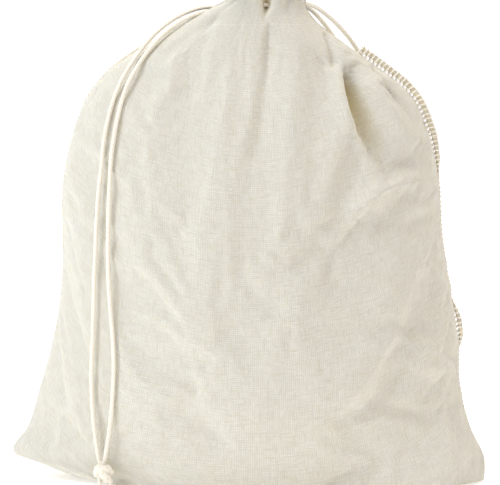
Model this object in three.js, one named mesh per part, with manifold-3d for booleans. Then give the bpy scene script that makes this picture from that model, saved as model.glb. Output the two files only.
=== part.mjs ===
// A filled drawstring gift sack of plain woven cotton muslin, standing on its base with the neck drawn shut.
// Millimetres, +X to the right, +Y to the back, +Z up; the origin is under the middle of the sack.
import * as THREE from 'three';
import { mergeVertices } from 'three/addons/utils/BufferGeometryUtils.js';
import Module from 'manifold-3d';

const wasm = await Module();
wasm.setup();

// The filled cloth: height, reach of the left edge, reach of the right edge, half depth, pinch of the edges.
const stations = [
  [0, 100, 104, 41, 1.25],
  [12, 118.5, 115.7, 49, 1.6],
  [26, 113, 109, 53.5, 1.55],
  [45, 108, 105.5, 56, 1.4],
  [70, 101, 105.5, 56, 1.3],
  [96, 96.5, 101, 54, 1.25],
  [124, 95, 97, 51, 1.2],
  [152, 94.5, 95, 46.5, 1.15],
  [178, 88, 89.5, 40, 1.1],
  [198, 79.5, 79, 34, 1.08],
  [213, 66, 63, 28.5, 1.05],
  [225, 43, 46, 24, 1],
  [235, 24, 33, 20.5, 1],
];
// Heights of the rows of cloth below a cup's top, and how clear of that top the last of them stays.
const rowHeights = [0, 5, 12, 19, 26, 36, 52, 70, 90, 110, 130, 150, 168, 184, 198, 208, 217, 225];
const rowClear = 3;
const neckX = 5.5;            // the drawn neck stands a little to the right of the middle
const clothWall = 2;          // a plain wall for the cloth
const gap = 0.3;              // between pieces that touch
const around = 40;            // steps round the sack

const seamHalf = 1;           // half thickness of a seam allowance
const seamRoom = seamHalf + gap;
const seamTop = 222;          // the side seams stop below the cord openings
const leftAllowance = 1.6;    // how far the left allowance shows beyond the cloth
const rightAllowance = 4.4;
const threadWall = 1;         // the overlocked edge thread
const threadProud = 0.6;      // how far it stands out either side of the seam
const threadFrom = 6;         // it ends where the corners turn under
const baseHalf = 96;          // half length of the bottom seam
const baseBandTop = 4;        // the side seams stop this far above it

const panelTop = 230;
const stitchWall = 1;         // the stitched band below the casing
const stitchOut = [23, 17.5];
const stitchSteps = 32;
const stitchFrom = panelTop + gap;
const stitchTo = stitchFrom + stitchWall;
const casingFrom = stitchTo + gap;
const casingTo = 251;
const sideSlit = 5;           // half width of the cord openings at the two sides
const casingFoot = [29, 21.5]; // half width and half depth of the gathered casing, at its foot
const casingWaist = [23.5, 19.5]; // where the cords pull it in
const casingBrim = [21.5, 19]; // at its top
const throat = [14.5, 12];    // the way in through the gathers
const cordHeight = 240.2;     // the middle of the cord channel
const channelOut = [20.3, 17.8];
const channelRoom = [3.4, 8.4]; // width and height of the channel
const pleats = 9;             // gathers round the neck
const pleatDepth = 0.9;

const cordDiameter = 2.1;
const cordSides = 8;
const cordStep = 2.6 * cordDiameter;
const lowerRunZ = cordHeight - 1.8;
const upperRunZ = cordHeight + 1.8;
const runPoints = 15;         // along a cord's way round half of the casing
const knotSize = [4.2, 3.9, 4.4];
const knotSteps = [14, 9];
const leftKnotAt = [-74.8, -39.4, 9.4];
const rightKnotAt = [74.6, 40.2, 9.4];
const tails = {               // each tail from its knot's middle, to the front of the sack
  front: [[1, -0.4, -4.6], [3, -1.2, -6.8], [6, -2.6, -7.9], [9.6, -4, -8.05]],
  back: [[-1.2, -0.4, -4.6], [-2.6, -1.6, -6.8], [-3.8, -4, -7.9], [-4.4, -7.4, -8.05]],
};

// The hanging strands, from the casing opening to the knot.
const leftFrontRoute = [
  [-12.4, -3.9, 238.4], [-14.6, -2.9, 238.8], [-18, -2.6, 239], [-23.4, -3.4, 238.4], [-29.2, -4.8, 236.6],
  [-35.8, -6.8, 233.4], [-42.4, -9.4, 228.8], [-48.6, -12.6, 222.8], [-54, -16, 216], [-58.8, -19.4, 208.6],
  [-62.8, -22, 200.4], [-65.8, -24.8, 190.2], [-68.2, -27.4, 178.6], [-70, -29.9, 165], [-70.8, -32.2, 150],
  [-71.3, -33.6, 135], [-71.5, -34.8, 120], [-71.2, -36.2, 105], [-70.2, -38, 90], [-69, -39.8, 76],
  [-68.6, -41, 62], [-69.2, -41.2, 48], [-70.4, -41.1, 34], [-72, -40.8, 23], [-73.4, -40.2, 14.4],
];
const leftBackRoute = [
  [-12.4, 3.9, 238.4], [-14.6, 2.9, 239.2], [-18, 1.9, 240.2], [-23.4, 0.6, 240.4], [-29.6, -0.8, 239],
  [-37, -2.9, 235.8], [-45, -6, 230.4], [-52.4, -10.2, 223.2], [-58.8, -14.6, 214.8], [-64.2, -18.3, 206],
  [-68.4, -20.8, 196.4], [-71.4, -23, 186], [-73.6, -25.2, 175], [-74.8, -27.6, 162], [-76.4, -28.9, 148],
  [-77.4, -29.8, 133], [-78, -30.6, 118], [-78.6, -31.6, 103], [-79, -32.8, 88], [-79.4, -34, 74],
  [-80, -35, 60], [-79.8, -36, 47], [-79, -37.2, 34], [-77.6, -38.2, 23], [-76.2, -38.8, 14.4],
];
const rightFrontRoute = [
  [23.4, -3.9, 242], [25.8, -2.9, 242.3], [29.2, -1.6, 242], [34, 0.6, 240], [38.8, 3.4, 236.4],
  [43.8, 6.4, 231.8], [49, 9.6, 226], [54, 13.4, 219], [58.6, 17.4, 211], [62.4, 21.2, 202],
  [65.8, 24.2, 192], [68.6, 26.8, 181], [71, 28.8, 169], [73, 30.4, 156], [74.6, 31.6, 142],
  [75.8, 32.6, 128], [76.6, 33.6, 113], [77, 34.8, 98], [77.2, 36, 84], [77.2, 37, 70],
  [77.2, 37.6, 57], [77, 38, 44], [76.8, 38.4, 33], [76.4, 38.9, 23], [75.9, 39.5, 14.4],
];
const rightBackRoute = [
  [23.4, 3.9, 242], [25.6, 3.2, 241.8], [28.4, 3.6, 240.6], [31.8, 5.4, 238], [35.4, 8.2, 234.2],
  [39.2, 11.8, 229.4], [43.2, 15.6, 223.4], [47.6, 19.3, 216.4], [52.2, 22.7, 208.4], [56.4, 25.8, 199.4],
  [59.8, 28.5, 189.4], [62.4, 30.8, 178], [64.6, 32.8, 166], [66.4, 34.4, 153], [67.8, 35.8, 139],
  [69, 37.1, 124], [69.6, 38.4, 110], [69.8, 39.7, 96], [69.6, 40.9, 82], [69.2, 41.7, 68],
  [69, 42, 55], [69.2, 42, 43], [70.2, 41.8, 32.4], [71.8, 41.4, 23], [73.2, 40.9, 14.4],
];

const muslin = { color: 0xe6e2d3, roughness: 0.95 };
const cordCotton = { color: 0xeee8d8, roughness: 0.9 };
const whiteThread = { color: 0xf4f2ea, roughness: 0.9 };

// The shape of the filled cloth.

function measure(z, column) {                    // one column of the stations at height z, smoothly
  const last = stations.length - 1;
  const clamped = THREE.MathUtils.clamp(z, stations[0][0], stations[last][0]);
  let i = 0;
  while (i < last - 1 && clamped > stations[i + 1][0]) i += 1;
  const at = (k) => stations[THREE.MathUtils.clamp(k, 0, last)];
  const slope = (k) => {
    const a = at(k - 1);
    const b = at(k + 1);
    return (b[column] - a[column]) / (b[0] - a[0]);
  };
  const span = at(i + 1)[0] - at(i)[0];
  const t = (clamped - at(i)[0]) / span;
  const t2 = t * t;
  const t3 = t2 * t;
  return (2 * t3 - 3 * t2 + 1) * at(i)[column] + (t3 - 2 * t2 + t) * span * slope(i)
    + (3 * t2 - 2 * t3) * at(i + 1)[column] + (t3 - t2) * span * slope(i + 1);
}

function clothPoint(angle, z, inset, share) {    // angle 0 points to the right edge; share 0 is the middle
  const c = Math.cos(angle);
  const s = Math.sin(angle);
  const reach = (c < 0 ? measure(z, 1) : measure(z, 2)) - inset;
  const depth = Math.max(measure(z, 3) - inset, 1);
  const y = Math.sign(s) * depth * Math.abs(s) ** measure(z, 4);
  return new THREE.Vector3(share * reach * c, share * y, z);
}

// Solids.

const weldGap = 1e-4;         // corners closer than this are one corner

function toSolid(geometry) {                     // a closed solid with its faces pointing out
  const bare = geometry.index ? geometry.toNonIndexed() : geometry.clone();
  bare.deleteAttribute('normal');
  bare.deleteAttribute('uv');
  const merged = mergeVertices(bare, weldGap);
  const triangles = [];
  for (let i = 0; i < merged.index.count; i += 3) {
    const corners = [0, 1, 2].map((k) => merged.index.getX(i + k));
    if (new Set(corners).size === 3) triangles.push(corners);
  }
  const vertProperties = new Float32Array(merged.attributes.position.array);
  const build = (faces) => {
    const triVerts = new Uint32Array(faces.flat());
    return new wasm.Manifold(new wasm.Mesh({ numProp: 3, vertProperties, triVerts }));
  };
  const solid = build(triangles);
  return solid.volume() > 0 ? solid : build(triangles.map(([a, b, c]) => [b, a, c]));
}

function toGeometry(solid) {
  const mesh = solid.getMesh();
  const geometry = new THREE.BufferGeometry();
  geometry.setAttribute('position', new THREE.BufferAttribute(new Float32Array(mesh.vertProperties), 3));
  geometry.setIndex(new THREE.BufferAttribute(new Uint32Array(mesh.triVerts), 1));
  geometry.computeVertexNormals();
  return geometry;
}

// A lathe whose rows are placed by a rule: place(angle, row) gives each corner of a row.
function ruledLathe(rows, place, steps) {
  const outline = rows.map((row, i) => new THREE.Vector2(row.share, i));
  const geometry = new THREE.LatheGeometry(outline, steps);
  const spots = geometry.attributes.position;
  for (let i = 0; i < spots.count; i += 1) {
    const turn = Math.round(i / rows.length - 0.5 + 0.5 / rows.length) % steps;
    const row = rows[i % rows.length];
    const point = place((2 * Math.PI * turn) / steps, row);
    spots.setXYZ(i, point.x, point.y, point.z);
  }
  return toSolid(geometry);
}

function block(low, high) {
  const size = new THREE.Vector3().subVectors(high, low);
  const box = new THREE.BoxGeometry(size.x, size.y, size.z);
  box.translate((low.x + high.x) / 2, (low.y + high.y) / 2, (low.z + high.z) / 2);
  return toSolid(box);
}

const far = 400;                                 // past the sack on every side
const half = (side, clear) => (side < 0
  ? block(new THREE.Vector3(-far, -far, -far), new THREE.Vector3(far, -clear, far))
  : block(new THREE.Vector3(-far, clear, -far), new THREE.Vector3(far, far, far)));

function clothCup(outset, inset, top) {          // the cloth from the middle of the base up to a height
  const walls = rowHeights.filter((z) => z < top - rowClear).concat(top);
  const rows = [0, 0.5].map((share) => ({ share, z: 0, inset: -outset, level: 0 }));
  walls.forEach((z) => rows.push({ share: 1, z, inset: -outset, level: z }));
  walls.slice().reverse().forEach((z) => rows.push({ share: 1, z, inset, level: Math.max(z, clothWall) }));
  [0.5, 0].forEach((share) => rows.push({ share, z: 0, inset, level: clothWall }));
  return ruledLathe(rows, (angle, row) => {
    const point = clothPoint(angle, row.z, row.inset, row.share);
    point.z = row.level;
    return point;
  }, around);
}

function seamBand(outset, inset, halfThick) {
  const slab = block(new THREE.Vector3(-far, -halfThick, -far), new THREE.Vector3(far, halfThick, far));
  return clothCup(outset, inset, seamTop).intersect(slab);
}

const baseBlock = (clear) => block(
  new THREE.Vector3(-baseHalf - clear, -far, -far),
  new THREE.Vector3(baseHalf + clear, far, baseBandTop + clear),
);
const sideBlock = (side) => (side < 0
  ? block(new THREE.Vector3(-far, -far, -far), new THREE.Vector3(0, far, far))
  : block(new THREE.Vector3(0, -far, -far), new THREE.Vector3(far, far, far)));

function neckRing(rows, steps) {                 // rows hold half width, half depth, ruffle and height
  return ruledLathe(rows, (angle, row) => {
    const wave = row.ruffle * Math.cos(pleats * angle);
    return new THREE.Vector3(
      neckX + (row.wide + wave) * Math.cos(angle),
      (row.deep + wave) * Math.sin(angle),
      row.z,
    );
  }, steps);
}

const closeRing = (rows) => rows.concat(rows[0]).map((row) => ({ share: 1, ...row }));
const neckSteps = pleats * 6;
const ring = ([wide, deep], z, ruffle) => ({ wide, deep, z, ruffle });
const shrink = ([wide, deep], by) => [wide - by, deep - by];

function casingRing() {
  const outer = neckRing(closeRing([
    ring(casingFoot, casingFrom, pleatDepth),
    ring(casingWaist, cordHeight, pleatDepth),
    ring(casingBrim, casingTo, pleatDepth),
    ring(throat, casingTo, 0),
    ring(throat, casingFrom, 0),
  ]), neckSteps);
  const [room, height] = channelRoom;
  const low = cordHeight - height / 2;
  const high = cordHeight + height / 2;
  const channel = neckRing(closeRing([
    ring(channelOut, low, 0),
    ring(channelOut, high, 0),
    ring(shrink(channelOut, room), high, 0),
    ring(shrink(channelOut, room), low, 0),
  ]), neckSteps);
  return outer.subtract(channel);
}

function stitchRing() {
  const inner = shrink(stitchOut, stitchWall);
  return neckRing(closeRing([
    ring(stitchOut, stitchFrom, 0),
    ring(stitchOut, stitchTo, 0),
    ring(inner, stitchTo, 0),
    ring(inner, stitchFrom, 0),
  ]), stitchSteps);
}

// Cords.

function cordTube(route) {
  const curve = new THREE.CatmullRomCurve3(route.map((p) => new THREE.Vector3(...p)), false, 'centripetal');
  const section = new THREE.Shape();
  const radius = cordDiameter / 2;
  for (let i = 0; i < cordSides; i += 1) {
    const angle = (2 * Math.PI * i) / cordSides;
    const spot = [radius * Math.cos(angle), radius * Math.sin(angle)];
    if (i === 0) section.moveTo(...spot);
    else section.lineTo(...spot);
  }
  section.closePath();
  const steps = Math.max(3, Math.round(curve.getLength() / cordStep));
  return toSolid(new THREE.ExtrudeGeometry(section, { steps, extrudePath: curve, curveSegments: 1 }));
}

function casingRun(side, z) {                    // a cord inside one half of the casing
  const [wide, deep] = shrink(channelOut, channelRoom[0] / 2);
  const from = Math.asin((sideSlit + gap) / deep);
  const route = [];
  for (let i = 0; i < runPoints; i += 1) {
    const angle = side * (from + ((Math.PI - 2 * from) * i) / (runPoints - 1));
    route.push([neckX + wide * Math.cos(angle), deep * Math.sin(angle), z]);
  }
  return cordTube(route);
}

function knot(at) {                              // a pulled-tight overhand knot, as its outer shape
  const ball = new THREE.SphereGeometry(1, ...knotSteps);
  ball.scale(...knotSize);
  ball.translate(...at);
  return toSolid(ball);
}

// The assembly.

const sack = new THREE.Group();

function addPiece(name, solid, finish) {
  const material = new THREE.MeshStandardMaterial({ ...finish, metalness: 0 });
  const mesh = new THREE.Mesh(toGeometry(solid), material);
  mesh.name = name;
  sack.add(mesh);
}

const cup = clothCup(0, clothWall, panelTop);
addPiece('front_panel', cup.intersect(half(-1, seamRoom)), muslin);
addPiece('back_panel', cup.intersect(half(1, seamRoom)), muslin);

const leftBand = seamBand(leftAllowance, clothWall, seamHalf);
const rightBand = seamBand(rightAllowance, clothWall, seamHalf);
addPiece('left_side_seam', leftBand.intersect(sideBlock(-1)).subtract(baseBlock(gap)), muslin);
addPiece('right_side_seam', rightBand.intersect(sideBlock(1)).subtract(baseBlock(gap)), muslin);
addPiece('bottom_seam', seamBand(0, clothWall, seamHalf).intersect(baseBlock(0)), muslin);

function edgeThread(side, allowance) {           // the overlocked thread just past a seam's raw edge
  const band = seamBand(allowance + gap + threadWall, -allowance - gap, seamHalf + threadProud);
  const below = block(new THREE.Vector3(-far, -far, -far), new THREE.Vector3(far, far, threadFrom));
  return band.intersect(sideBlock(side)).subtract(below);
}

addPiece('left_overlock_thread', edgeThread(-1, leftAllowance), whiteThread);
addPiece('right_overlock_thread', edgeThread(1, rightAllowance), whiteThread);

const casing = casingRing();
const stitches = stitchRing();
for (const [name, side] of [['front', -1], ['back', 1]]) {
  const part = half(side, sideSlit);
  addPiece(`${name}_casing`, casing.intersect(part), muslin);
  addPiece(`${name}_casing_stitching`, stitches.intersect(part), whiteThread);
  addPiece(`left_cord_${name}_run`, casingRun(side, lowerRunZ), cordCotton);
  addPiece(`right_cord_${name}_run`, casingRun(side, upperRunZ), cordCotton);
}

for (const [name, turn, at, frontRoute, backRoute] of [
  ['left', 1, leftKnotAt, leftFrontRoute, leftBackRoute],
  ['right', -1, rightKnotAt, rightFrontRoute, rightBackRoute],
]) {
  addPiece(`${name}_cord_front_strand`, cordTube(frontRoute), cordCotton);
  addPiece(`${name}_cord_back_strand`, cordTube(backRoute), cordCotton);
  addPiece(`${name}_knot`, knot(at), cordCotton);
  for (const [end, offsets] of Object.entries(tails)) {
    const route = offsets.map(([x, y, z]) => [at[0] + turn * x, at[1] + turn * y, at[2] + z]);
    addPiece(`${name}_cord_${end}_tail`, cordTube(route), cordCotton);
  }
}

export default sack;
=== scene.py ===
import math

import bmesh
import bpy
import numpy as np
from mathutils import Matrix, Vector


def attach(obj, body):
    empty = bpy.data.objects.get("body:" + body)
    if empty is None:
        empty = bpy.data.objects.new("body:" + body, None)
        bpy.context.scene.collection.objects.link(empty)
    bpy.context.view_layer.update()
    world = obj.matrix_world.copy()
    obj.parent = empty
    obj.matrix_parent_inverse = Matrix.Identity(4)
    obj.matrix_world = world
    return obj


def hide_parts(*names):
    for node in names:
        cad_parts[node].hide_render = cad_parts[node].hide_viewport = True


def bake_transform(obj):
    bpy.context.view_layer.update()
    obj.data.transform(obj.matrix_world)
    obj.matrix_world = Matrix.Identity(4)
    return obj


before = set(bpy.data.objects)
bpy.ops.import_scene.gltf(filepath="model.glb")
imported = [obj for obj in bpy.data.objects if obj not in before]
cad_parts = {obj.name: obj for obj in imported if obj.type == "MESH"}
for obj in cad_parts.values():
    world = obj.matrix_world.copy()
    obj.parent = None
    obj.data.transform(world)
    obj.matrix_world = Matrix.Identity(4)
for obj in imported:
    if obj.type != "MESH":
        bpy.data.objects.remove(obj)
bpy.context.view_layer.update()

mm = 0.001
scene = bpy.context.scene


# Small helpers

def toLinear(hexColour):
    channels = [int(hexColour[i:i + 2], 16) / 255 for i in (1, 3, 5)]
    return [c / 12.92 if c <= 0.04045 else ((c + 0.055) / 1.055) ** 2.4 for c in channels] + [1.0]


def smoothStep(value, low, high):
    t = np.clip((np.asarray(value, float) - low) / (high - low), 0, 1)
    return t * t * (3 - 2 * t)


def addNode(tree, kind, settings=None, links=None):
    # settings: sockets by name or number, or node properties; links: what feeds a socket, which is another
    # node's socket, or the node itself for its first one
    node = tree.nodes.new("ShaderNode" + kind)
    for key, value in (settings or {}).items():
        if isinstance(key, int) or key in node.inputs:
            node.inputs[key].default_value = value
        else:
            setattr(node, key, value)
    for key, source in (links or {}).items():
        tree.links.new(source.outputs[0] if isinstance(source, bpy.types.Node) else source, node.inputs[key])
    return node


def makeMaterial(name, sockets):
    material = bpy.data.materials.new(name)
    material.use_nodes = True
    shader = material.node_tree.nodes["Principled BSDF"]
    for socket, value in sockets.items():
        shader.inputs[socket].default_value = value
    return material, material.node_tree, shader


def lengthsAlong(points):
    return np.concatenate([[0], np.cumsum(np.linalg.norm(np.diff(points, axis=0), axis=1))])


def pointsAt(at, run, points):
    return np.stack([np.interp(at, run, column) for column in points.T], axis=-1)


def newObject(name, mesh):
    piece = bpy.data.objects.new(name, mesh)
    bpy.context.collection.objects.link(piece)
    return piece


def meshFrom(name, bm, smooth=True):
    mesh = bpy.data.meshes.new(name)
    bm.to_mesh(mesh)
    bm.free()
    if smooth:
        mesh.polygons.foreach_set("use_smooth", [True] * len(mesh.polygons))
    return newObject(name, mesh)


# Camera, light and floor

view = {
    "distance": 2.0,
    "elevation": math.radians(6),
    "aim": (-0.0003, 0, 0.1206),
    "width": 0.255,  # what the frame's width takes in at the sack
    "sensor": 36.0,
}


def makeCamera():
    data = bpy.data.cameras.new("camera")
    data.sensor_width = view["sensor"]
    data.lens = view["sensor"] * view["distance"] / view["width"]
    data.clip_end = 20
    camera = newObject("camera", data)
    tilt = view["elevation"]
    away = Vector((0, -math.cos(tilt), math.sin(tilt))) * view["distance"]
    camera.location = Vector(view["aim"]) + away
    camera.rotation_euler = (math.pi / 2 - tilt, 0, 0)
    scene.camera = camera


studio = {
    "key": {"at": (-1.2, -0.75, 1.35), "size": 0.7, "power": 16.2, "colour": "#F1F4FF"},
    "shoulder": {"at": (0.35, 0.2, 1.5), "size": 0.5, "power": 8.5, "colour": "#FFFCFA"},
    "fill": {"at": (0.9, -1.3, 0.5), "size": 1.4, "power": 1.0, "colour": "#FFAA78"},
    "back": {"at": (0.2, 1.3, 1.1), "size": 1.4, "power": 4, "colour": "#FFFFFF"},
    "leftWall": (0.58, 0.58, 0.61, 1),  # the room is brighter on the left and warmer on the right
    "rightWall": (0.14, 0.065, 0.03, 1),
    "ceiling": (0.95, 0.93, 0.90, 1),
    "floorGlow": (0.36, 0.365, 0.375, 1),
    "floorSize": 16.0,  # from the middle to its edge
    "floorGap": 0.0004,  # keeps the floor just clear of the base
}


def makeLight(name, at, size, power, colour):
    data = bpy.data.lights.new(name, "AREA")
    data.shape = "SQUARE"
    data.size = size
    data.energy = power
    data.color = toLinear(colour)[:3]
    lamp = newObject(name, data)
    lamp.location = at
    toMiddle = Vector((0, 0, 0.12)) - Vector(at)
    lamp.rotation_euler = toMiddle.to_track_quat("-Z", "Y").to_euler()


def makeStudio():
    for name in ("key", "shoulder", "fill", "back"):
        makeLight(name, **studio[name])
    world = bpy.data.worlds.new("studio")
    scene.world = world
    world.use_nodes = True
    tree = world.node_tree
    background = tree.nodes["Background"]
    direction = addNode(tree, "TexCoord").outputs["Generated"]
    sideways = addNode(tree, "SeparateXYZ", None, {0: direction})
    share = addNode(tree, "MapRange", {"From Min": -0.9, "From Max": 0.9}, {0: sideways})
    walls = addNode(tree, "Mix", {"data_type": "RGBA", 6: studio["leftWall"], 7: studio["rightWall"]},
                    {0: share})
    height = addNode(tree, "MapRange", {"From Min": 0.0, "From Max": 1.0}, {0: sideways.outputs[2]})
    room = addNode(tree, "Mix", {"data_type": "RGBA", 7: studio["ceiling"]},
                   {0: height, 6: walls.outputs[2]})
    tree.links.new(room.outputs[2], background.inputs["Color"])
    bm = bmesh.new()
    bmesh.ops.create_grid(bm, x_segments=1, y_segments=1, size=studio["floorSize"])
    floor = meshFrom("floor", bm, smooth=False)
    floor.location.z = -studio["floorGap"]
    # matt white paper, lit from below a little so that it stays an even white
    paper, _, _ = makeMaterial("white paper sweep", {
        "Base Color": toLinear("#FAFAFA"),
        "Roughness": 0.9,
        "Emission Color": studio["floorGlow"],
        "Emission Strength": 1,
    })
    floor.data.materials.append(paper)
    scene.view_settings.view_transform = "Standard"
    scene.view_settings.look = "None"


makeCamera()
makeStudio()
print("camera and studio done")


# Drawcords

drawCord = {
    "diameter": 2.1 * mm,
    "relief": 0.016,  # share of the radius that the plaits stand out
    "plaits": 3,
    "pitch": 5.5 * mm,
    "step": 1.15 * mm,
}
cordRoutes = {  # the hanging strands in millimetres, casing opening to knot, as the frame has them
    "left_cord_front_strand": [
        (-12.4, -3.9, 238.4), (-14.6, -2.9, 238.8), (-18, -2.6, 239), (-23.4, -3.4, 238.4),
        (-29.2, -4.8, 236.6), (-35.8, -6.8, 233.4), (-42.4, -9.4, 228.8), (-48.6, -12.6, 222.8),
        (-54, -16, 216), (-58.8, -19.4, 208.6), (-62.8, -22, 200.4), (-65.8, -24.8, 190.2),
        (-68.2, -27.4, 178.6), (-70, -29.9, 165), (-70.8, -32.2, 150), (-71.3, -33.6, 135),
        (-71.5, -34.8, 120), (-71.2, -36.2, 105), (-70.2, -38, 90), (-69, -39.8, 76), (-68.6, -41, 62),
        (-69.2, -41.2, 48), (-70.4, -41.1, 34), (-72, -40.8, 23), (-73.4, -40.2, 14.4),
    ],
    "left_cord_back_strand": [
        (-12.4, 3.9, 238.4), (-14.6, 2.9, 239.2), (-18, 1.9, 240.2), (-23.4, 0.6, 240.4),
        (-29.6, -0.8, 239), (-37, -2.9, 235.8), (-45, -6, 230.4), (-52.4, -10.2, 223.2),
        (-58.8, -14.6, 214.8), (-64.2, -18.3, 206), (-68.4, -20.8, 196.4), (-71.4, -23, 186),
        (-73.6, -25.2, 175), (-74.8, -27.6, 162), (-76.4, -28.9, 148), (-77.4, -29.8, 133),
        (-78, -30.6, 118), (-78.6, -31.6, 103), (-79, -32.8, 88), (-79.4, -34, 74), (-80, -35, 60),
        (-79.8, -36, 47), (-79, -37.2, 34), (-77.6, -38.2, 23), (-76.2, -38.8, 14.4),
    ],
    "right_cord_front_strand": [
        (23.4, -3.9, 242), (25.8, -2.9, 242.3), (29.2, -1.6, 242), (34, 0.6, 240), (38.8, 3.4, 236.4),
        (43.8, 6.4, 231.8), (49, 9.6, 226), (54, 13.4, 219), (58.6, 17.4, 211), (62.4, 21.2, 202),
        (65.8, 24.2, 192), (68.6, 26.8, 181), (71, 28.8, 169), (73, 30.4, 156), (74.6, 31.6, 142),
        (75.8, 32.6, 128), (76.6, 33.6, 113), (77, 34.8, 98), (77.2, 36, 84), (77.2, 37, 70),
        (77.2, 37.6, 57), (77, 38, 44), (76.8, 38.4, 33), (76.4, 38.9, 23), (75.9, 39.5, 14.4),
    ],
    "right_cord_back_strand": [
        (23.4, 3.9, 242), (25.6, 3.2, 241.8), (28.4, 3.6, 240.6), (31.8, 5.4, 238), (35.4, 8.2, 234.2),
        (39.2, 11.8, 229.4), (43.2, 15.6, 223.4), (47.6, 19.3, 216.4), (52.2, 22.7, 208.4),
        (56.4, 25.8, 199.4), (59.8, 28.5, 189.4), (62.4, 30.8, 178), (64.6, 32.8, 166),
        (66.4, 34.4, 153), (67.8, 35.8, 139), (69, 37.1, 124), (69.6, 38.4, 110), (69.8, 39.7, 96),
        (69.6, 40.9, 82), (69.2, 41.7, 68), (69, 42, 55), (69.2, 42, 43), (70.2, 41.8, 32.4),
        (71.8, 41.4, 23), (73.2, 40.9, 14.4),
    ],
}


def curvePoints(controls, step):
    # points a step apart along a smooth curve through the controls, and the curve's length
    points = [np.array(p, float) for p in controls]
    padded = [2 * points[0] - points[1]] + points + [2 * points[-1] - points[-2]]
    dense = []
    for a, b, c, d in zip(padded, padded[1:], padded[2:], padded[3:]):
        t0, t1, t2, t3 = np.cumsum([0] + [np.linalg.norm(q - p) ** 0.5 for p, q in ((a, b), (b, c), (c, d))])
        for t in np.linspace(t1, t2, 16, endpoint=False):
            ab = (t1 - t) / (t1 - t0) * a + (t - t0) / (t1 - t0) * b
            bc = (t2 - t) / (t2 - t1) * b + (t - t1) / (t2 - t1) * c
            cd = (t3 - t) / (t3 - t2) * c + (t - t2) / (t3 - t2) * d
            abc = (t2 - t) / (t2 - t0) * ab + (t - t0) / (t2 - t0) * bc
            bcd = (t3 - t) / (t3 - t1) * bc + (t - t1) / (t3 - t1) * cd
            dense.append((t2 - t) / (t2 - t1) * abc + (t - t1) / (t2 - t1) * bcd)
    dense.append(points[-1])
    dense = np.array(dense)
    run = lengthsAlong(dense)
    count = max(4, round(run[-1] / step))
    at = np.linspace(0, run[-1], count + 1)
    return pointsAt(at, run, dense), run[-1]


def ringPlaces(points, closed):
    # a frame at each point, with z along the route and the other two turned as little as they can be
    places = []
    side = None
    count = len(points)
    for i, point in enumerate(points):
        ahead = points[(i + 1) % count] if closed or i + 1 < count else point
        behind = points[i - 1] if closed or i else point
        along = Vector(ahead - behind).normalized()
        side = side or along.orthogonal()
        side = (side - along * side.dot(along)).normalized()
        place = Matrix((side, along.cross(side), along)).transposed().to_4x4()
        place.translation = Vector(point)
        places.append(place)
    return places


def sweepCord(name, points, radius, sides=12, relief=0.0, closed=False, taper=None):
    # a ring of the cord, extruded from point to point; its UVs are the length in metres and the share round
    bm = bmesh.new()
    places = ringPlaces(points, closed)
    ring = bmesh.ops.create_circle(bm, segments=sides, radius=radius, matrix=places[0])["verts"]
    firstEdges = edges = bm.edges[:]
    rings = [ring]
    for before, place in zip(places, places[1:]):
        made = bmesh.ops.extrude_edge_only(bm, edges=edges)["geom"]
        ring = [item for item in made if isinstance(item, bmesh.types.BMVert)]
        fresh = set(ring)
        edges = [item for item in made
                 if isinstance(item, bmesh.types.BMEdge) and fresh.issuperset(item.verts)]
        bmesh.ops.transform(bm, matrix=place @ before.inverted(), verts=ring)
        rings.append(ring)
    if closed:
        bmesh.ops.bridge_loops(bm, edges=firstEdges + edges)
    else:
        bmesh.ops.contextual_create(bm, geom=rings[0])
        bmesh.ops.contextual_create(bm, geom=rings[-1])
    run = lengthsAlong(points)
    where = {}
    for i, (place, ring) in enumerate(zip(places, rings)):
        back = place.inverted()
        lay = 2 * math.pi * run[i] / drawCord["pitch"]
        size = taper(i / (len(places) - 1)) if taper else 1
        for vert in ring:
            flat = back @ vert.co
            turn = math.atan2(flat.y, flat.x)
            where[vert] = (run[i], turn / (2 * math.pi) % 1)
            scale = size * (1 + relief * (math.cos(drawCord["plaits"] * turn - lay) - 1))
            vert.co = place.translation + (vert.co - place.translation) * scale
    uvLayer = bm.loops.layers.uv.new("cloth")
    for face in bm.faces:
        shares = [where[loop.vert][1] for loop in face.loops]
        crosses = max(shares) - min(shares) > 0.5 and len(shares) == 4
        for loop, share in zip(face.loops, shares):
            loop[uvLayer].uv = (where[loop.vert][0], share + (crosses and share < 0.5))
    bmesh.ops.recalc_face_normals(bm, faces=bm.faces)
    return meshFrom(name, bm)


def makeStrands():
    strands = {}
    for node, route in cordRoutes.items():
        points, length = curvePoints(np.array(route) * mm, drawCord["step"])
        strand = sweepCord(node + "_cord", points, drawCord["diameter"] / 2, relief=drawCord["relief"])
        strands[node] = (strand, points, length)
    return strands


strands = makeStrands()
print("hanging cords done")


# The sack's cloth

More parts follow.
